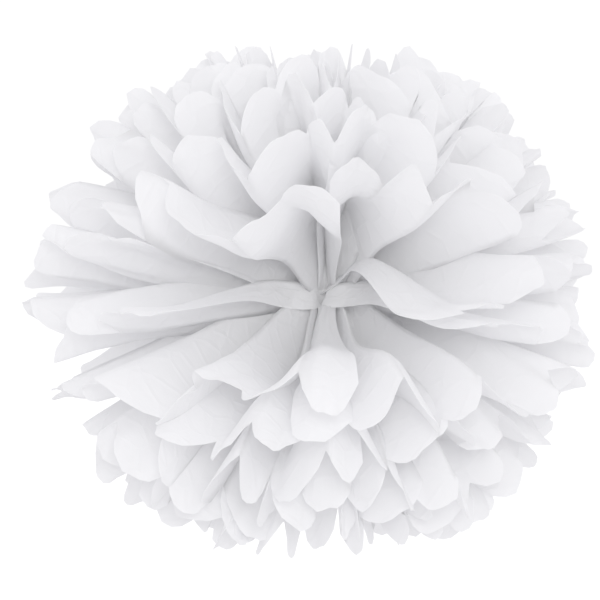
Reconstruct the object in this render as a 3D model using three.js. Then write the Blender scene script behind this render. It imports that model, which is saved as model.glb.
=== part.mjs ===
// A tissue paper pom pom: twelve thin sheets pleated together, tied in the middle and fanned out into a ball.
// Millimetres. The strip runs along X, the upper sheets are pulled towards +Z and the lower ones towards -Z,
// and the two fanned ends meet at the front (-Y) and the back (+Y). The origin is the middle of the tie.
import * as THREE from 'three';

// The stack of sheets before it is fanned out.
const sheetCount = 12;
const pleatCount = 16;
const pleatWidth = 31;
const sheetThickness = 0.2; // thicker than real tissue, so that each sheet is a solid

// The ball: how far the petals reach from the tie.
const reachSide = 153;
const leftLean = 10; // the strip is tied off its middle, so the left end reaches further and the right end less
const reachUp = 132;
const reachDown = 140;
const notchDepth = 17; // how much shorter a sheet is at a fold than at a petal's tip
const notchPower = 2.3;
const reachScatter = 4;

// How the sheets are spread, in degrees of elevation.
const levelElevation = 6; // the two sheets nearest to level
const nextElevation = 20;
const lastElevation = 68;
const steepest = 84;
const flattestStart = 0.15; // the share of its elevation that a sheet has at the tie
const bendLength = 18; // how far from the tie a sheet takes to bend to its own elevation
const steepestFold = 26;
const foldRise = 13; // how far from the tie the folds take to stand up
const foldScatter = 1.2;
const cupDepth = 1.5;

// Each sheet is twisted a little round the upright axis, in degrees, and single folds slide by part of a pleat.
const twists = [-3, 3, -4, 3, -1, -1, 1, 3, -4, 3, -3, 3];
const slideOfSingleFold = 0.1;

// The seam between the two fanned ends, in degrees from the front or the back.
const gapByTie = 3;
const gapAtPetals = 0.6;
const levelFrontGaps = { left: 32, right: 26 };

// How many degrees higher each sheet stands at the front than elsewhere, from the top sheet down.
const frontLifts = [2, 2, 2, 3, 6, -1, 2, -2, 0, 1, 2, 1];
const frontLiftPleats = 3;

// The bundle where the tie grips it.
const bundleHalfWidth = 8;
const bundleRound = 10.6; // half width at which the gripped section would close
const layerStep = 1;
const waistFold = 0.8;
const waistPleatWidth = 3;
const fullWidthFrom = 65; // the distance from the tie at which the pleats have their whole width
const shoulder = 3.6; // the ends leave the tie by this much along X before they fan out
const shoulderLength = 2;

// The tie: a paper-covered wire round the bundle, twisted into a neck with an eyelet.
const wireDiameter = 0.9;
const wireSteps = 120;
const ringHalfWidth = 11.8;
const ringHalfHeight = 9.3;
const neckTop = 25;
const neckTurns = 2.5;
const strandOffset = 0.7;
const eyeletRadius = 3.6;

// Rows of points along a sheet, as distances from the tie. The tip row has more points, for the rounded petals.
const innerRows = [7, 20, 55, 98];
const tipColumns = 4;

const toRadians = Math.PI / 180;

function clamp01(x) {
  return Math.min(Math.max(x, 0), 1);
}

// Rises smoothly from 0 at low to 1 at high.
function ramp(low, high, x) {
  const t = clamp01((x - low) / (high - low));
  return t * t * (3 - 2 * t);
}

// A repeatable scatter between -1 and 1 for a sheet and a place along it.
function scatter(sheet, place) {
  const wave = Math.sin(sheet * 12.9898 + place * 78.233) * 43758.5453;
  return 2 * (wave - Math.floor(wave)) - 1;
}

// Folds alternate between -1 and +1, and a pleat runs straight from one to the next.
function foldWave(v) {
  const t = v % 2;
  return t < 1 ? 2 * t - 1 : 3 - 2 * t;
}

// A value given at each fold, read anywhere between the folds.
function betweenFolds(valueAtFold, v) {
  const fold = Math.min(Math.floor(v), pleatCount - 1);
  return THREE.MathUtils.lerp(valueAtFold(fold), valueAtFold(fold + 1), v - fold);
}

// 1 in the middle of a pleat and 0 at its folds.
function pleatHump(v) {
  const u = v - Math.min(Math.floor(v), pleatCount - 1);
  return 4 * u * (1 - u);
}

// Sheets are numbered from the top. This one counts from the outermost sheet of either half.
function fromOutermost(sheet) {
  return Math.min(sheet - 1, sheetCount - sheet);
}

function sheetElevation(sheet) {
  const upOrDown = sheet <= sheetCount / 2 ? 1 : -1;
  const inwards = fromOutermost(sheet) / (sheetCount / 2 - 2);
  const spread = THREE.MathUtils.lerp(lastElevation, nextElevation, inwards);
  return upOrDown * (isLevel(sheet) ? levelElevation : spread);
}

function isLevel(sheet) {
  return fromOutermost(sheet) === sheetCount / 2 - 1;
}

// The seams close on the way out, except at the front of the two sheets level with the tie, which stand open.
function backGapAt(distance) {
  return THREE.MathUtils.lerp(gapByTie, gapAtPetals, ramp(30, 80, distance));
}

function frontGapAt(sheet, side, distance) {
  const opening = isLevel(sheet) ? levelFrontGaps[side < 0 ? 'left' : 'right'] : 0;
  return backGapAt(distance) + opening * ramp(80, 135, distance);
}

// The elevation of a sheet between its folds. It leaves the tie nearly level and bends to its own angle.
function middleElevation(sheet, v, distance) {
  const bent = 1 - (1 - flattestStart) * Math.exp(-distance / bendLength);
  const lift = frontLifts[sheet - 1] * Math.exp(-((v / frontLiftPleats) ** 2));
  return (sheetElevation(sheet) + lift) * bent;
}

// Holds a value under a limit, smoothly, and never turns two values round.
function heldUnder(limit, value, sharpness) {
  return value / (1 + Math.abs(value / limit) ** sharpness) ** (1 / sharpness);
}

// How high the folds stand from the sheet's middle, in degrees, so that a pleat keeps its width.
function foldHeight(sheet, side, elevation, distance) {
  const opened = 1 - clamp01(distance / fullWidthFrom);
  const width = pleatWidth - (pleatWidth - waistPleatWidth) * opened * opened;
  const pitchAngle = ((180 - frontGapAt(sheet, side, distance) - backGapAt(distance)) / pleatCount) * toRadians;
  const pitch = 2 * bundleHalfWidth / pleatCount + distance * Math.cos(elevation * toRadians) * pitchAngle;
  const rise = Math.sqrt(Math.max(width * width - pitch * pitch, 0)) / 2 - waistFold;
  const height = Math.max(rise, 0) / Math.max(distance, 1) / toRadians;
  return heldUnder(steepestFold * (1 - Math.exp(-distance / foldRise)), height, 4);
}

// The elevation of a point of a sheet, in degrees.
function elevationAt(sheet, side, v, distance) {
  const middle = middleElevation(sheet, v, distance);
  const loose = ramp(50, 120, distance);
  const foldShift = betweenFolds((fold) => scatter(sheet, side * (fold + 1)), v) * foldScatter;
  const cup = scatter(sheet + 40, side * (Math.floor(v) + 1)) * cupDepth * pleatHump(v);
  const raised = middle + foldHeight(sheet, side, middle, distance) * foldWave(v) + loose * (foldShift + cup);
  return heldUnder(steepest, raised, 6);
}

// The azimuth of a point from the front, in degrees, positive to the right. Away from the tie the twist and the
// slides set in, so that the petals of one sheet don't stand in line with those of the next.
function azimuthAt(sheet, side, v, distance) {
  const gap = frontGapAt(sheet, side, distance);
  const slideOfFold = (fold) => (fold % pleatCount === 0 ? 0 : scatter(sheet + 60, side * (fold + 1)));
  const loose = ramp(75, 135, distance);
  const place = (v + loose * slideOfSingleFold * betweenFolds(slideOfFold, v)) / pleatCount;
  return side * (gap + (180 - gap - backGapAt(distance)) * place) + loose * twists[sheet - 1];
}

// How far a petal of a sheet reaches from the tie: a squashed ball, with a little scatter.
function petalReach(sheet, side, pleat) {
  const elevation = sheetElevation(sheet) * toRadians;
  const upright = elevation > 0 ? reachUp : reachDown;
  const level = reachSide - side * leftLean * Math.sin(Math.PI * (pleat + 0.5) / pleatCount);
  const ball = 1 / Math.hypot(Math.cos(elevation) / level, Math.sin(elevation) / upright);
  return ball + scatter(sheet + 80, side * (pleat + 1)) * reachScatter;
}

// The rounded outline of the petals: full reach in the middle of a pleat, notched at its folds.
function tipDistance(sheet, side, v) {
  const pleat = Math.min(Math.floor(v), pleatCount - 1);
  const across = 2 * (v - pleat) - 1;
  const neighbour = THREE.MathUtils.clamp(pleat + Math.sign(across), 0, pleatCount - 1);
  const own = petalReach(sheet, side, pleat);
  const atFold = (own + petalReach(sheet, side, neighbour)) / 2;
  const edge = Math.abs(across);
  return THREE.MathUtils.lerp(own, atFold, edge) - notchDepth * edge ** notchPower;
}

function sheetPoint(sheet, side, v, distance) {
  const gripped = bundleHalfWidth * (2 * v / pleatCount - 1);
  const roundness = Math.sqrt(1 - (gripped / bundleRound) ** 2);
  const layer = ((sheetCount + 1) / 2 - sheet) * layerStep;
  const elevation = elevationAt(sheet, side, v, distance);
  const azimuth = azimuthAt(sheet, side, v, distance) * toRadians;
  const level = distance * Math.cos(elevation * toRadians);
  const shoulderAt = shoulder * Math.tanh(distance / shoulderLength) * (1 - 0.8 * ramp(15, 70, distance));
  return new THREE.Vector3(
    side * shoulderAt + level * Math.sin(azimuth),
    gripped - level * Math.cos(azimuth),
    (layer + waistFold * foldWave(v)) * roundness + distance * Math.sin(elevation * toRadians),
  );
}

// One row of points across the sheet.
function sheetRow(sheet, side, columnsPerPleat, distanceAt) {
  const count = pleatCount * columnsPerPleat;
  return Array.from({ length: count + 1 }, (_, i) => {
    const v = i / columnsPerPleat;
    return sheetPoint(sheet, side, v, distanceAt(v));
  });
}

// The sheet's middle surface as rows from one end's petals, through the tie, to the other end's.
function sheetRows(sheet) {
  const ends = [-1, 1].map((side) => [
    ...innerRows.map((distance) => sheetRow(sheet, side, 1, () => distance)),
    sheetRow(sheet, side, tipColumns, (v) => tipDistance(sheet, side, v)),
  ]);
  const waist = sheetRow(sheet, 1, 1, () => 0);
  return [...ends[0].reverse(), waist, ...ends[1]];
}

// Triangles between two rows, pleat by pleat. Either row may have more points on a pleat than the other.
function stripTriangles(startA, columnsA, startB, columnsB) {
  const triangles = [];
  for (let pleat = 0; pleat < pleatCount; pleat += 1) {
    const a = startA + pleat * columnsA;
    const b = startB + pleat * columnsB;
    for (let i = 0; i < columnsA; i += 1) {
      const across = Math.floor((i + 0.5) / columnsA * columnsB + 0.5);
      triangles.push([a + i, a + i + 1, b + across]);
    }
    for (let i = 0; i < columnsB; i += 1) {
      const across = Math.ceil((i + 0.5) / columnsB * columnsA - 0.5);
      triangles.push([b + i + 1, b + i, a + across]);
    }
  }
  return triangles;
}

// A closed thin solid round a surface: one copy on each side of it, and a wall along its free edges.
function thicken(points, triangles, thickness) {
  const normals = points.map(() => new THREE.Vector3());
  const edges = new Set();
  for (const [a, b, c] of triangles) {
    const ab = points[b].clone().sub(points[a]);
    const ac = points[c].clone().sub(points[a]);
    const facing = ab.cross(ac).normalize();
    [a, b, c].forEach((corner) => normals[corner].add(facing));
    [[a, b], [b, c], [c, a]].forEach(([from, to]) => edges.add(`${from} ${to}`));
  }
  const offsets = normals.map((normal) => normal.setLength(thickness / 2));
  const upper = points.map((point, i) => point.clone().add(offsets[i]));
  const lower = points.map((point, i) => point.clone().sub(offsets[i]));
  const under = points.length;
  const faces = [];
  for (const [a, b, c] of triangles) {
    faces.push(a, b, c, under + a, under + c, under + b);
  }
  for (const edge of edges) {
    const [from, to] = edge.split(' ').map(Number);
    if (!edges.has(`${to} ${from}`)) {
      faces.push(to, from, under + from, to, under + from, under + to);
    }
  }
  const geometry = new THREE.BufferGeometry();
  geometry.setFromPoints([...upper, ...lower]);
  geometry.setIndex(faces);
  geometry.computeVertexNormals();
  return geometry;
}

function sheetGeometry(sheet) {
  const rows = sheetRows(sheet);
  const triangles = [];
  let start = 0;
  for (let i = 0; i < rows.length - 1; i += 1) {
    const next = start + rows[i].length;
    const columns = (rows[i].length - 1) / pleatCount;
    const nextColumns = (rows[i + 1].length - 1) / pleatCount;
    triangles.push(...stripTriangles(start, columns, next, nextColumns));
    start = next;
  }
  return thicken(rows.flat(), triangles, sheetThickness);
}

// The wire's centre line: down one strand of the neck, round the bundle, up the other strand and
// round the eyelet.
function wireRoute() {
  const points = [];
  const neckFoot = ringHalfHeight + 1;
  const strandPoint = (height, phase) => {
    const turn = phase + 2 * Math.PI * neckTurns * (height - neckFoot) / (neckTop - neckFoot);
    return new THREE.Vector3(strandOffset * Math.cos(turn), strandOffset * Math.sin(turn), height);
  };
  const neckSteps = 20;
  for (let i = neckSteps; i >= 0; i -= 1) {
    points.push(strandPoint(THREE.MathUtils.lerp(neckFoot, neckTop, i / neckSteps), 0));
  }
  const ringSteps = 24;
  for (let i = 1; i < ringSteps; i += 1) {
    const turn = Math.PI * (0.5 + 2 * i / ringSteps);
    const sideways = strandOffset * (1 - 2 * i / ringSteps);
    points.push(new THREE.Vector3(sideways, ringHalfWidth * Math.cos(turn), ringHalfHeight * Math.sin(turn)));
  }
  for (let i = 0; i <= neckSteps; i += 1) {
    points.push(strandPoint(THREE.MathUtils.lerp(neckFoot, neckTop, i / neckSteps), Math.PI));
  }
  const eyeletSteps = 14;
  const eyeletStart = points[points.length - 1];
  for (let i = 1; i <= eyeletSteps; i += 1) {
    const turn = 1.6 * Math.PI * i / eyeletSteps;
    points.push(new THREE.Vector3(
      eyeletStart.x - eyeletRadius * (1 - Math.cos(turn)),
      eyeletStart.y,
      eyeletStart.z + wireDiameter + eyeletRadius * Math.sin(turn),
    ));
  }
  return new THREE.CatmullRomCurve3(points, false, 'centripetal');
}

function wireGeometry() {
  const section = new THREE.Shape();
  section.absarc(0, 0, wireDiameter / 2, 0, 2 * Math.PI);
  return new THREE.ExtrudeGeometry(section, {
    steps: wireSteps,
    curveSegments: 4,
    bevelEnabled: false,
    extrudePath: wireRoute(),
  });
}

const group = new THREE.Group();

for (let sheet = 1; sheet <= sheetCount; sheet += 1) {
  const tissue = new THREE.MeshStandardMaterial({ color: 0xf1f1f4, roughness: 0.9, metalness: 0 });
  const mesh = new THREE.Mesh(sheetGeometry(sheet), tissue);
  mesh.name = `sheet_${String(sheet).padStart(2, '0')}`;
  group.add(mesh);
}

const wirePaper = new THREE.MeshStandardMaterial({ color: 0xf4f3ee, roughness: 0.75, metalness: 0 });
const tieWire = new THREE.Mesh(wireGeometry(), wirePaper);
tieWire.name = 'tie_wire';
group.add(tieWire);

export default group;
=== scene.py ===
import bpy
import numpy as np
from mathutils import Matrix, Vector


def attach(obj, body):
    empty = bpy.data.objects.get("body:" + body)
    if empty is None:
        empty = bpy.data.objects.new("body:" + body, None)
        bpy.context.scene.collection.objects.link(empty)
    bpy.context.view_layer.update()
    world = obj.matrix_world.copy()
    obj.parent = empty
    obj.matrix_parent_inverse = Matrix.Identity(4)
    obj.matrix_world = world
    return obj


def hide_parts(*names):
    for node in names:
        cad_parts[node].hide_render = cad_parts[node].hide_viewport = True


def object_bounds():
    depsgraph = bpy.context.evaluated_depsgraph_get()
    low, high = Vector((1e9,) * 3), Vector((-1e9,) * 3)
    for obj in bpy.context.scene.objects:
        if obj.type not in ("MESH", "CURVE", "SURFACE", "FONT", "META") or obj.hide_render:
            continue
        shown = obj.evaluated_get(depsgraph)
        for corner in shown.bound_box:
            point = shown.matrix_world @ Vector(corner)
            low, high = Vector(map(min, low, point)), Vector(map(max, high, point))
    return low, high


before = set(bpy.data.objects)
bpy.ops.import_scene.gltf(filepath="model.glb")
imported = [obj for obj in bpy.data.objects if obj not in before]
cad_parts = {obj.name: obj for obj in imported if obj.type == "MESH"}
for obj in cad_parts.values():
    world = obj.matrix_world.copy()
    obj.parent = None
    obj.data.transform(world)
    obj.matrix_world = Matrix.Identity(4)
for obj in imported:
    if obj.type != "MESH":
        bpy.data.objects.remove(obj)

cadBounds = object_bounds()
mm = 0.001
print("frame loaded:", len(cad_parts), "nodes")


def ramp(low, high, x):
    # rises smoothly from 0 at low to 1 at high
    t = np.clip((x - low) / (high - low), 0, 1)
    return t * t * (3 - 2 * t)


def scatter(row, place):
    # repeatable scatter between -1 and 1: the loose digits of a fast sine
    wave = np.sin(row * 12.9898 + place * 78.233) * 43758.5453
    return 2 * (wave - np.floor(wave)) - 1


def heldUnder(limit, value, sharpness):
    # value pressed smoothly below limit, without turning any two values round
    return value / (1 + np.abs(value / limit) ** sharpness) ** (1 / sharpness)


cameraSettings = {
    "lens": 120,
    "distance": 1.1,
    "elevation": 2.5,  # degrees above level
    "aimX": -14.5 * mm,
    "aimZ": -2.7 * mm,
}


def makeCamera(settings):
    data = bpy.data.cameras.new("studioCamera")
    data.lens = settings["lens"]
    data.sensor_width = 36
    data.clip_start = 0.05
    camera = bpy.data.objects.new("studioCamera", data)
    bpy.context.scene.collection.objects.link(camera)
    tilt = np.radians(settings["elevation"])
    aim = Vector((settings["aimX"], 0, settings["aimZ"]))
    away = Vector((0, -np.cos(tilt), np.sin(tilt)))
    camera.location = aim + away * settings["distance"]
    camera.rotation_euler = (-away).to_track_quat("-Z", "Y").to_euler()
    bpy.context.scene.camera = camera


makeCamera(cameraSettings)
print("camera placed")


ball = {
    "sheets": 12,
    "pleats": 16,
    "pleatWidth": 31,
    "paper": 0.15,
    "notchDepth": 17,
    "notchPower": 2.3,
    "reachScatter": 6,
    "reachSide": 153,
    "reachUp": 134,
    "reachDown": 138,
    "leftLean": 10,  # the strip is tied a little off its middle, so the left end is longer
    "columnsPerPleat": 10,
    "rowsPerEnd": 44,
}

spread = {  # degrees of elevation, from the outermost sheet of either half to the one level with the tie
    "angles": [66, 55, 44, 32, 20, 6],
    "steepest": 88,
    "startShare": 0.15,
    "bendLength": 18,
    "steepestFold": 26,
    "uprightFold": 16,
    "foldRise": 13,
    "frontPleats": 3,
    "foldScatter": 3.4,
    "cup": 3.0,
    "curl": 5.0,
    "arch": 2.0,
}

# elevation of each sheet at the front, near the tie and at the petals, for its left and its right end
front = {
    1: {"left": (72, 69), "right": (72, 69)},
    2: {"left": (68, 57), "right": (68, 59)},
    3: {"left": (63, 45), "right": (63, 46)},
    4: {"left": (56, 32), "right": (58, 36)},
    5: {"left": (46, 20), "right": (50, 22)},
    6: {"left": (15, 13), "right": (28, -2)},
    7: {"left": (6, -1), "right": (5, -4)},
    8: {"left": (-42, -17), "right": (-42, -19)},
    9: {"left": (-50, -27), "right": (-50, -28)},
    10: {"left": (-57, -38), "right": (-57, -40)},
    11: {"left": (-63, -52), "right": (-63, -52)},
    12: {"left": (-70, -66), "right": (-70, -66)},
}

seam = {  # degrees from the front or the back
    "byTie": 3,
    "atPetals": 0.6,
    "levelFront": {6: {"left": 44, "right": 21}, 7: {"left": 36, "right": 29}},
    "levelFold": {6: {"left": 0.3, "right": 0.3}, 7: {"left": 0.36, "right": 0.3}},
    "lap": 9,  # millimetres that the first pleat of one end reaches over the other end's
    "twists": [-6, 5, -7, 4, -1, -1, 1, 3, -6, 5, -4, 6],
    "slide": 3.6,
    "lean": 11,
}

bundle = {
    "halfWidth": 8,
    "round": 10.6,
    "layerStep": 1,
    "waistFold": 0.8,
    "waistPleat": 3,
    "fullWidthFrom": 58,
    "shoulder": 3.6,
    "shoulderLength": 2,
}

crossing = {  # the sheet whose first pleat lies across the front of the tie
    "sheet": 7,
    "halfHeight": 4.2,
    "proud": 6,
}

# folds nearest the front, given one by one out by the petals: degrees up at each fold from the seam on
posed = {
    (4, "left"): [3, 2, -2],
    (4, "right"): [2, 1, -1],
    (5, "left"): [4, -2, -4, -1],
    (5, "right"): [4, -1, 2, 0],
    (8, "left"): [0, -1, 2, -2],
    (8, "right"): [-2, 3, -3, 1],
}

spans = {  # millimetres from the tie over which each change comes in or dies away
    "closing": (30, 80),
    "opening": (0, 28),
    "frontAngle": (25, 120),
    "levelFold": (35, 120),
    "crushed": (15, 60),
    "loose": (40, 120),
    "softFold": (50, 130),
    "free": (60, 135),
    "twist": (30, 110),
    "shoulder": (15, 70),
    "lap": (0, 10),
    "crossingHeight": (12, 70),
    "crossingProud": (8, 60),
}

draws = {  # what tells one kind of scatter from another
    "cup": 40,
    "slide": 60,
    "reach": 80,
    "curl": 120,
    "arch": 140,
    "flutter": 160,
    "wrinkle": 200,
    "skew": 300,
    "notch": 320,
    "roundness": 340,
    "creaseLine": 400,
    "creaseLean": 460,
    "creaseSize": 520,
}

foldNumbers = np.arange(ball["pleats"] + 1)
sideNames = {-1: "left", 1: "right"}


def fromOutermost(sheetNo):
    # sheets are numbered from the top; this counts from the outermost one of either half
    return min(sheetNo - 1, ball["sheets"] - sheetNo)


def isUpper(sheetNo):
    return sheetNo <= ball["sheets"] // 2


def sheetElevation(sheetNo):
    angle = spread["angles"][fromOutermost(sheetNo)]
    return angle if isUpper(sheetNo) else -angle


def isLevel(sheetNo):
    return fromOutermost(sheetNo) == ball["sheets"] // 2 - 1


def pleatOf(v):
    return np.minimum(np.floor(v), ball["pleats"] - 1)


def atFolds(sheetNo, side, v, kind):
    # a scattered value at each fold, and a straight line from fold to fold
    return np.interp(v, foldNumbers, scatter(sheetNo + kind, side * (foldNumbers + 1.0)))


def foldShifts(sheetNo, side, v):
    # how far each fold stands off its place, in degrees of elevation: scattered, but listed one by one in
    # front
    shifts = spread["foldScatter"] * scatter(sheetNo, side * (foldNumbers + 1.0))
    byHand = posed.get((sheetNo, sideNames[side]), [])
    shifts[:len(byHand)] = byHand
    return np.interp(v, foldNumbers, shifts)


def perPetal(sheetNo, side, v, kind):
    return scatter(sheetNo + kind, side * (pleatOf(v) + 1))


def foldWave(v):
    # -1 and +1 by turns at the folds, straight between them
    t = np.mod(v, 2)
    return np.where(t < 1, 2 * t - 1, 3 - 2 * t)


def coversSeam(sheetNo, side):
    # the ends of neighbouring sheets lap over the front seam from the left and the right by turns
    return side == (-1 if (sheetNo % 2 == 1) == isUpper(sheetNo) else 1)


def backGap(r):
    return seam["byTie"] + (seam["atPetals"] - seam["byTie"]) * ramp(*spans["closing"], r)


def frontGap(sheetNo, side, r):
    opening = seam["levelFront"][sheetNo][sideNames[side]] if isLevel(sheetNo) else 0
    return backGap(r) + opening * ramp(*spans["opening"], r)


def petalReach(sheetNo, side, pleat):
    # a squashed ball: reach in a direction from its side, up and down reaches, with a little scatter
    angle = np.radians(sheetElevation(sheetNo))
    upright = ball["reachUp"] if angle > 0 else ball["reachDown"]
    sideways = np.sin(np.pi * (pleat + 0.5) / ball["pleats"])
    level = ball["reachSide"] - side * ball["leftLean"] * sideways
    reach = 1 / np.hypot(np.cos(angle) / level, np.sin(angle) / upright)
    return reach + scatter(sheetNo + draws["reach"], side * (pleat + 1)) * ball["reachScatter"]


def tipDistance(sheetNo, side, v):
    # rounded petals: full reach mid-pleat, less the notch depth times the distance to mid-pleat to a power
    pleat = pleatOf(v)
    u = v - pleat
    u = u + 0.35 * perPetal(sheetNo, side, v, draws["skew"]) * u * (1 - u)
    across = 2 * u - 1
    neighbour = np.clip(pleat + np.sign(across), 0, ball["pleats"] - 1)
    own = petalReach(sheetNo, side, pleat)
    atFold = (own + petalReach(sheetNo, side, neighbour)) / 2
    edge = np.abs(across)
    depth = ball["notchDepth"] * (1 + 0.25 * atFolds(sheetNo, side, v, draws["notch"]))
    broad = 0.5 * np.sin(2 * np.pi * 1.7 * v + sheetNo)
    fine = 0.35 * np.sin(2 * np.pi * 4.1 * v + 2 * sheetNo)
    power = ball["notchPower"] + 0.7 * perPetal(sheetNo, side, v, draws["roundness"])
    return own + (atFold - own) * edge - depth * edge ** power + (broad + fine) * (1 - edge ** 4)


def middleElevation(sheetNo, side, v, r):
    # between its folds: bends from nearly level at the tie to its own angle, and to another in front
    own = sheetElevation(sheetNo)
    atFront = np.exp(-(v / spread["frontPleats"]) ** 2)
    byTie, atPetals = front[sheetNo][sideNames[side]]
    frontAngle = byTie + (atPetals - byTie) * ramp(*spans["frontAngle"], r)
    bent = 1 - (1 - spread["startShare"]) * np.exp(-r / spread["bendLength"])
    return (own + (frontAngle - own) * atFront) * bent


def foldHeight(sheetNo, side, v, middle, r):
    # what is left of the pleat's width after the pitch between two folds, as an angle
    opened = 1 - np.clip(r / bundle["fullWidthFrom"], 0, 1)
    width = ball["pleatWidth"] - (ball["pleatWidth"] - bundle["waistPleat"]) * opened ** 2
    pitchAngle = np.radians(180 - frontGap(sheetNo, side, r) - backGap(r)) / ball["pleats"]
    pitch = 2 * bundle["halfWidth"] / ball["pleats"] + r * np.cos(np.radians(middle)) * pitchAngle
    rise = np.sqrt(np.maximum(width ** 2 - pitch ** 2, 0)) / 2 - bundle["waistFold"]
    height = np.degrees(np.maximum(rise, 0) / np.maximum(r, 1))
    upright = np.sin(np.radians(middle)) ** 4
    steepest = spread["steepestFold"] + spread["uprightFold"] * upright
    limit = steepest * (1 - np.exp(-r / spread["foldRise"])) + 1e-6
    if isLevel(sheetNo):
        share = seam["levelFold"][sheetNo][sideNames[side]] * (1 - 0.9 * ramp(*spans["levelFold"], r))
        height = height * (1 - (1 - share) * (1 - ramp(1, 3, v)))
    return heldUnder(limit, height, 4)


def wrinkles(sheetNo, side, v, r):
    # crushed creases that run out from the tie and die away: a few sines across the pleats, in millimetres
    phase = scatter(sheetNo + draws["wrinkle"], side) * 9
    bunched = np.exp(-r / 50)
    fine = np.sin(2 * np.pi * 2.3 * v + phase + 0.02 * r)
    fine = fine + 0.7 * np.sin(2 * np.pi * 3.7 * v - 2 * phase + 0.05 * r)
    broad = np.sin(2 * np.pi * 0.83 * v + 3 * phase + 0.03 * r)
    return (0.6 * fine * (bunched + 0.1) + 0.6 * broad) * (1 - np.exp(-r / 12))


def creases(sheetNo, side, v, r):
    # a few soft keels along each petal: a ridge that falls off to either side of a line along the pleat
    u = v - pleatOf(v)
    total = 0
    for number, width in ((0, 0.08), (1, 0.05), (2, 0.12)):
        line = 0.5 + 0.36 * perPetal(sheetNo, side, v, draws["creaseLine"] + 20 * number)
        line = line + 0.0012 * (r - 90) * perPetal(sheetNo, side, v, draws["creaseLean"] + 20 * number)
        size = 1.1 * perPetal(sheetNo, side, v, draws["creaseSize"] + 20 * number)
        total = total + size * np.exp(-np.abs(u - line) / width)
    return total * ramp(*spans["crushed"], r) * np.sin(np.pi * u) ** 0.5


def sheetEnd(sheetNo, side):
    # one fanned end of a sheet: grid of rows from the tie outwards and columns across the pleats
    columns = ball["pleats"] * ball["columnsPerPleat"]
    v = np.linspace(0, ball["pleats"], columns + 1)[None, :]
    t = (np.linspace(0, 1, ball["rowsPerEnd"] + 1) ** 1.35)[:, None]
    r = t * tipDistance(sheetNo, side, v)
    u = v - pleatOf(v)
    hump = 4 * u * (1 - u)
    firstPleat = np.clip(1 - v, 0, 1) * (not isLevel(sheetNo))
    covers = coversSeam(sheetNo, side)
    middle = middleElevation(sheetNo, side, v, r)
    steep = np.sin(np.radians(middle)) ** 2
    height = foldHeight(sheetNo, side, v, middle, r)
    calm = 1 - isLevel(sheetNo) * np.exp(-(v / 1.6) ** 4)
    loose = ramp(*spans["loose"], r) * calm
    soft = 0.85 * ramp(*spans["softFold"], r)
    outwards = (0 if covers else 1) if isUpper(sheetNo) else (2 if covers else 0)
    wave = foldWave(v) * (1 - soft) - np.cos(np.pi * v) * soft + outwards * firstPleat
    foldShift = foldShifts(sheetNo, side, v)
    cup = spread["cup"] * perPetal(sheetNo, side, v, draws["cup"]) * hump
    curl = calm * spread["curl"] * perPetal(sheetNo, side, v, draws["curl"])
    curl = curl * ramp(0.5, 1.1, t) * (0.4 + 0.6 * hump)
    arch = calm * spread["arch"] * perPetal(sheetNo, side, v, draws["arch"]) * np.sin(np.pi * t) * hump
    shifted = 5 * atFolds(sheetNo, side, v, draws["flutter"])
    flutter = 1.1 * np.sin(2 * np.pi * 1.9 * v + shifted) * ramp(0.8, 1, t)
    small = wrinkles(sheetNo, side, v, r) + creases(sheetNo, side, v, r) + flutter
    raised = middle + height * wave + loose * (foldShift + cup) + curl + arch
    raised = raised + np.degrees(small / np.maximum(r, 8))
    elevation = np.radians(heldUnder(spread["steepest"], raised, 6))
    free = ramp(*spans["free"], r)
    betweenSeams = np.sin(np.pi * v / ball["pleats"]).clip(0)
    slide = seam["slide"] * atFolds(sheetNo, side, v, draws["slide"]) * np.sqrt(betweenSeams)
    gap = frontGap(sheetNo, side, r)
    byTurns = np.interp(v, foldNumbers, np.cos(np.pi * (foldNumbers + sheetNo)))
    lean = seam["lean"] * steep ** 1.5 * byTurns
    turned = gap + (180 - gap - backGap(r)) * v / ball["pleats"]
    turned = turned + free * (slide + lean * betweenSeams ** 0.3)
    azimuth = np.radians(side * turned + ramp(*spans["twist"], r) * seam["twists"][sheetNo - 1])
    gripped = bundle["halfWidth"] * (2 * v / ball["pleats"] - 1)
    roundness = np.sqrt(1 - (gripped / bundle["round"]) ** 2)
    layer = ((ball["sheets"] + 1) / 2 - sheetNo) * bundle["layerStep"]
    shoulder = bundle["shoulder"] * np.tanh(r / bundle["shoulderLength"])
    shoulder = shoulder * (1 - 0.8 * ramp(*spans["shoulder"], r))
    level = r * np.cos(elevation)
    lap = covers * seam["lap"] * np.clip(1 - v / 3, 0, 1) * ramp(*spans["lap"], r)
    x = side * (shoulder - lap) + level * np.sin(azimuth)
    y = gripped - level * np.cos(azimuth)
    z = (layer + bundle["waistFold"] * foldWave(v)) * roundness + r * np.sin(elevation)
    if sheetNo == crossing["sheet"]:
        upright = np.interp(v, [0, 1, 2], [-1, 1, 0])
        inFront = np.interp(v, [0, 1, 2], [1, 1, 0])
        z = z + crossing["halfHeight"] * upright * (1 - ramp(*spans["crossingHeight"], r))
        y = y - crossing["proud"] * inFront * (1 - ramp(*spans["crossingProud"], r))
    paper = np.stack([v * ball["pleatWidth"] + 0 * r, side * r], axis=-1)
    return np.stack([x, y, z], axis=-1), paper


def markRims(mesh, rows, columns):
    # sharp edges all round the grid, so that the paper's cut edge doesn't round off its shading
    ends = np.empty(len(mesh.edges) * 2, dtype=np.int32)
    mesh.edges.foreach_get("vertices", ends)
    row, column = np.divmod(ends.reshape(-1, 2), columns)
    onRim = (row == 0).all(1) | (row == rows - 1).all(1)
    onRim = onRim | (column == 0).all(1) | (column == columns - 1).all(1)
    sharp = mesh.attributes.new("sharp_edge", "BOOLEAN", "EDGE")
    sharp.data.foreach_set("value", onRim)


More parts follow.
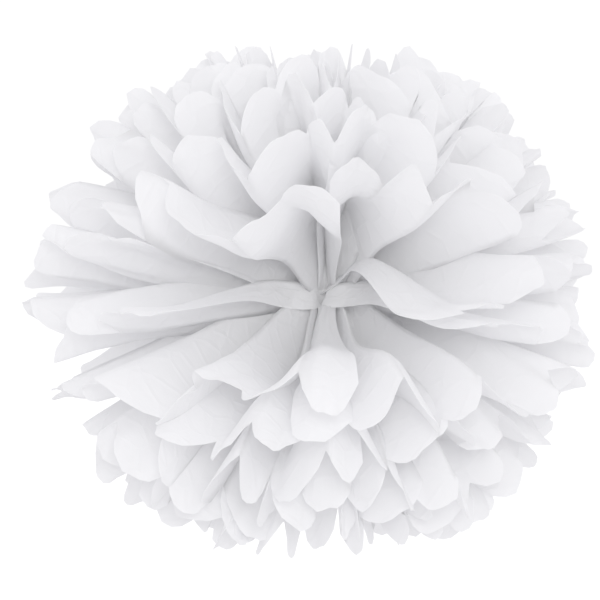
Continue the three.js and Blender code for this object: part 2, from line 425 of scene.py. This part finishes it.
def surfaceObject(name, grid, paper=None):
    # a mesh over a grid of points: one four-sided face between each four neighbours
    rows, columns = grid.shape[:2]
    index = np.arange(rows * columns).reshape(rows, columns)
    corners = [index[:-1, :-1], index[:-1, 1:], index[1:, 1:], index[1:, :-1]]
    faces = np.stack(corners, axis=-1).reshape(-1, 4)
    mesh = bpy.data.meshes.new(name)
    mesh.vertices.add(rows * columns)
    mesh.vertices.foreach_set("co", grid.reshape(-1))
    mesh.loops.add(faces.size)
    mesh.loops.foreach_set("vertex_index", faces.reshape(-1))
    mesh.polygons.add(len(faces))
    mesh.polygons.foreach_set("loop_start", np.arange(len(faces)) * 4)
    mesh.polygons.foreach_set("loop_total", np.full(len(faces), 4))
    mesh.polygons.foreach_set("use_smooth", np.ones(len(faces), dtype=bool))
    if paper is not None:
        uvMap = mesh.uv_layers.new(name="paper")
        uvMap.uv.foreach_set("vector", paper.reshape(-1, 2)[faces.reshape(-1)].reshape(-1))
    mesh.update(calc_edges=True)
    markRims(mesh, rows, columns)
    piece = bpy.data.objects.new(name, mesh)
    bpy.context.scene.collection.objects.link(piece)
    return piece


def linearColour(hexValue):
    channels = np.array([(hexValue >> shift) & 255 for shift in (16, 8, 0)]) / 255
    linear = np.where(channels <= 0.04045, channels / 12.92, ((channels + 0.055) / 1.055) ** 2.4)
    return (*linear, 1)


def addNode(tree, kind, settings=None, links=None):
    node = tree.nodes.new(kind)
    for key, value in (settings or {}).items():
        if isinstance(key, int) or key in node.inputs:
            node.inputs[key].default_value = value
        else:
            setattr(node, key, value)
    for key, source in (links or {}).items():
        tree.links.new(source, node.inputs[key])
    return node


def newMaterial(name):
    material = bpy.data.materials.new(name)
    material.use_nodes = True
    material.node_tree.nodes.clear()
    return material, material.node_tree


tissue = {
    "colour": 0xFDFDFE,
    "through": 0xFDFDFE,
    "openPaper": 0.7,  # share of light that passes where the fibres lie thin, and where they lie thick
    "densePaper": 0.62,
    "roughness": 0.85,
    "specular": 0.2,
    "cloud": 3 * mm,
    "crease": 14 * mm,
    "creaseWidth": 0.12,
    "creaseDepth": 0.16 * mm,
    "crinkle": 5 * mm,
    "crinkleDepth": 0.14 * mm,
    "fibre": 0.5 * mm,
    "fibreLength": 4,
    "fibreDepth": 0.02 * mm,
}


def makeTissue(values):
    # bleached cellulose tissue, wet-laid and uncoated: light passes through it and its surface is dull
    material, tree = newMaterial("bleachedTissuePaper")
    flatSheet = addNode(tree, "ShaderNodeUVMap", {"uv_map": "paper"}).outputs[0]
    # fibre clouds a few millimetres across, seen against the light as thinner and thicker paper
    cloud = addNode(tree, "ShaderNodeTexNoise", {"Scale": 1 / values["cloud"], "Detail": 1},
                    {"Vector": flatSheet})
    passing = addNode(tree, "ShaderNodeMapRange", {
        "From Min": 0.3, "From Max": 0.7, "To Min": values["densePaper"], "To Max": values["openPaper"],
    }, {"Value": cloud.outputs[0]})
    # handling creases: narrow ridges between flat facets
    facets = addNode(tree, "ShaderNodeTexVoronoi", {
        "feature": "DISTANCE_TO_EDGE", "Scale": 1 / values["crease"],
    }, {"Vector": flatSheet})
    ridge = addNode(tree, "ShaderNodeMapRange", {
        "From Min": 0, "From Max": values["creaseWidth"], "To Min": 1, "To Max": 0,
    }, {"Value": facets.outputs[0]})
    creased = addNode(tree, "ShaderNodeBump", {"Distance": values["creaseDepth"]},
                      {"Height": ridge.outputs[0]})
    # soft crinkle, the slight puckering that tissue dries with
    crinkle = addNode(tree, "ShaderNodeTexNoise", {"Scale": 1 / values["crinkle"], "Detail": 2},
                      {"Vector": flatSheet})
    crinkled = addNode(tree, "ShaderNodeBump", {"Distance": values["crinkleDepth"]},
                       {"Height": crinkle.outputs[0], "Normal": creased.outputs[0]})
    # fibres drawn out along the sheet, which break up the last smooth gleam
    drawnOut = addNode(tree, "ShaderNodeMapping", {"Scale": (1 / values["fibreLength"], 1, 1)},
                       {"Vector": flatSheet})
    fibre = addNode(tree, "ShaderNodeTexNoise", {"Scale": 1 / values["fibre"], "Detail": 0},
                    {"Vector": drawnOut.outputs[0]})
    surface = addNode(tree, "ShaderNodeBump", {"Distance": values["fibreDepth"]},
                      {"Height": fibre.outputs[0], "Normal": crinkled.outputs[0]}).outputs[0]
    body = addNode(tree, "ShaderNodeBsdfPrincipled", {
        "Base Color": linearColour(values["colour"]),
        "Roughness": values["roughness"],
        "Specular IOR Level": values["specular"],
    }, {"Normal": surface})
    through = addNode(tree, "ShaderNodeBsdfTranslucent", {"Color": linearColour(values["through"])},
                      {"Normal": surface})
    mixed = addNode(tree, "ShaderNodeMixShader", None,
                    {0: passing.outputs[0], 1: body.outputs[0], 2: through.outputs[0]})
    addNode(tree, "ShaderNodeOutputMaterial", None, {"Surface": mixed.outputs[0]})
    return material


tissuePaper = makeTissue(tissue)

for sheetNo in range(1, ball["sheets"] + 1):
    leftEnd, rightEnd = sheetEnd(sheetNo, -1), sheetEnd(sheetNo, 1)
    grid = np.concatenate([leftEnd[0][:0:-1], rightEnd[0]]) * mm
    paper = np.concatenate([leftEnd[1][:0:-1], rightEnd[1]]) * mm
    piece = surfaceObject(f"tissue_{sheetNo:02d}", grid, paper)
    piece.data.materials.append(tissuePaper)
    thickness = piece.modifiers.new("paper", "SOLIDIFY")
    thickness.thickness = ball["paper"] * mm
    thickness.offset = 0
    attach(piece, "root")
    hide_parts(f"sheet_{sheetNo:02d}")
print("sheets folded:", ball["sheets"])


windings = {
    "paper": 0xF4F3EE,
    # painted shade: the darker colour laid into the furrows between the strip's laps
    "furrowShade": 0xDCDAD2,
    "pitch": 1.87 * mm,  # drawn coarser than the strip's laps, which are too fine to see
    "depth": 0.08 * mm,
    "fibre": 0.3 * mm,
    "fibreDepth": 0.016 * mm,
    "roughness": 0.8,
}


def makePaperWoundWire(values):
    # soft steel wire wound with a narrow strip of crepe paper, as florists and craft shops sell it
    material, tree = newMaterial("paperWoundWire")
    place = addNode(tree, "ShaderNodeTexCoord").outputs["Object"]
    # the strip's laps, as slanting bands, with painted shade in the furrows between them, which are
    # coloured a little darker
    diagonalWave = 2 * np.pi / (10 * np.sqrt(3))  # distance between diagonal bands at a scale of 1
    laps = addNode(tree, "ShaderNodeTexWave", {
        "bands_direction": "DIAGONAL", "Scale": diagonalWave / values["pitch"],
        "Distortion": 0.6, "Detail": 1,
    }, {"Vector": place})
    # paper colour, with painted shade in the furrows between the laps
    colour = addNode(tree, "ShaderNodeMix", {
        "data_type": "RGBA", 6: linearColour(values["furrowShade"]), 7: linearColour(values["paper"]),
    }, {0: laps.outputs[0]})
    # paper fibres on the strip, which keep it dull
    fibre = addNode(tree, "ShaderNodeTexNoise", {"Scale": 1 / values["fibre"], "Detail": 2},
                    {"Vector": place})
    rough = addNode(tree, "ShaderNodeBump", {"Distance": values["fibreDepth"]},
                    {"Height": fibre.outputs[0]})
    surface = addNode(tree, "ShaderNodeBump", {"Distance": values["depth"]},
                      {"Height": laps.outputs[0], "Normal": rough.outputs[0]})
    body = addNode(tree, "ShaderNodeBsdfPrincipled", {"Roughness": values["roughness"]},
                   {"Base Color": colour.outputs[2], "Normal": surface.outputs[0]})
    addNode(tree, "ShaderNodeOutputMaterial", None, {"Surface": body.outputs[0]})
    return material


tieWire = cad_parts["tie_wire"]
tieWire.data.materials.clear()
tieWire.data.materials.append(makePaperWoundWire(windings))
print("tie wire dressed")


studio = {
    "floorBelow": 0.5,
    "floorRings": [0, 2, 4, 8, 16],
    "floorGlow": 0.6,
    "domeRadius": 20,
    "domeGlow": 1.05,
    "sides": 64,
    "keyPlace": (0.1, -1.5, 0.3),
    "keySize": 0.4,
    "keyPower": 8.5,
    "roomColour": (0.975, 0.966, 1, 1),
    "roomStrength": 0.8,
    "gamma": 1.9,  # lifts the shaded paper, for the light that the limited bounces leave out
    "diffuseBounces": 6,
    "throughBounces": 10,
}


def makeStage(values):
    # a round floor: rings about the middle, below the part and out of the light's way
    rings = np.array(values["floorRings"])[:, None]
    turns = np.linspace(0, 2 * np.pi, values["sides"] + 1)[None, :]
    floorHeight = cadBounds[0][2] - values["floorBelow"]
    level = floorHeight + 0 * rings * turns
    grid = np.stack([rings * np.cos(turns), rings * np.sin(turns), level], axis=-1)
    floor = surfaceObject("studioFloor", grid)
    material, tree = newMaterial("paintedWhiteFloor")
    body = addNode(tree, "ShaderNodeBsdfPrincipled", {
        "Base Color": (0.92, 0.92, 0.93, 1), "Roughness": 0.7,
        "Emission Color": (1, 1, 1, 1), "Emission Strength": values["floorGlow"],
    })
    addNode(tree, "ShaderNodeOutputMaterial", None, {"Surface": body.outputs[0]})
    floor.data.materials.append(material)
    floor.visible_diffuse = False
    floor.visible_transmission = False


def makeBackdrop(values):
    # a white dome: radius times the cosine and sine of its height angle, closed at the top
    turns = np.linspace(0, 2 * np.pi, values["sides"] + 1)[None, :]
    heights = np.radians(np.linspace(-90, 90, values["sides"] // 2 + 1))[:, None]
    across = [np.cos(heights) * np.cos(turns), np.cos(heights) * np.sin(turns)]
    up = np.sin(heights) + 0 * turns
    dome = surfaceObject("studioBackdrop", values["domeRadius"] * np.stack([*across, up], axis=-1))
    material, tree = newMaterial("litWhiteBackdrop")
    glow = addNode(tree, "ShaderNodeEmission", {"Color": (1, 1, 1, 1), "Strength": values["domeGlow"]})
    addNode(tree, "ShaderNodeOutputMaterial", None, {"Surface": glow.outputs[0]})
    dome.data.materials.append(material)
    dome.visible_diffuse = False
    dome.visible_glossy = False
    dome.visible_transmission = False
    dome.visible_shadow = False


def makeLight(name, place, size, power):
    data = bpy.data.lights.new(name, "AREA")
    data.size = size
    data.energy = power
    lamp = bpy.data.objects.new(name, data)
    bpy.context.scene.collection.objects.link(lamp)
    lamp.location = place
    lamp.rotation_euler = Vector(place).to_track_quat("Z", "Y").to_euler()


def makeRoom(values):
    world = bpy.data.worlds.new("studioRoom")
    world.use_nodes = True
    room = world.node_tree.nodes["Background"]
    room.inputs["Color"].default_value = values["roomColour"]
    room.inputs["Strength"].default_value = values["roomStrength"]
    scene = bpy.context.scene
    scene.world = world
    scene.view_settings.view_transform = "Standard"
    scene.view_settings.gamma = values["gamma"]
    scene.cycles.diffuse_bounces = values["diffuseBounces"]
    scene.cycles.transmission_bounces = values["throughBounces"]
    scene.cycles.max_bounces = values["throughBounces"]


makeStage(studio)
makeBackdrop(studio)
makeLight("softKey", studio["keyPlace"], studio["keySize"], studio["keyPower"])
makeRoom(studio)
print("stage and lights set")
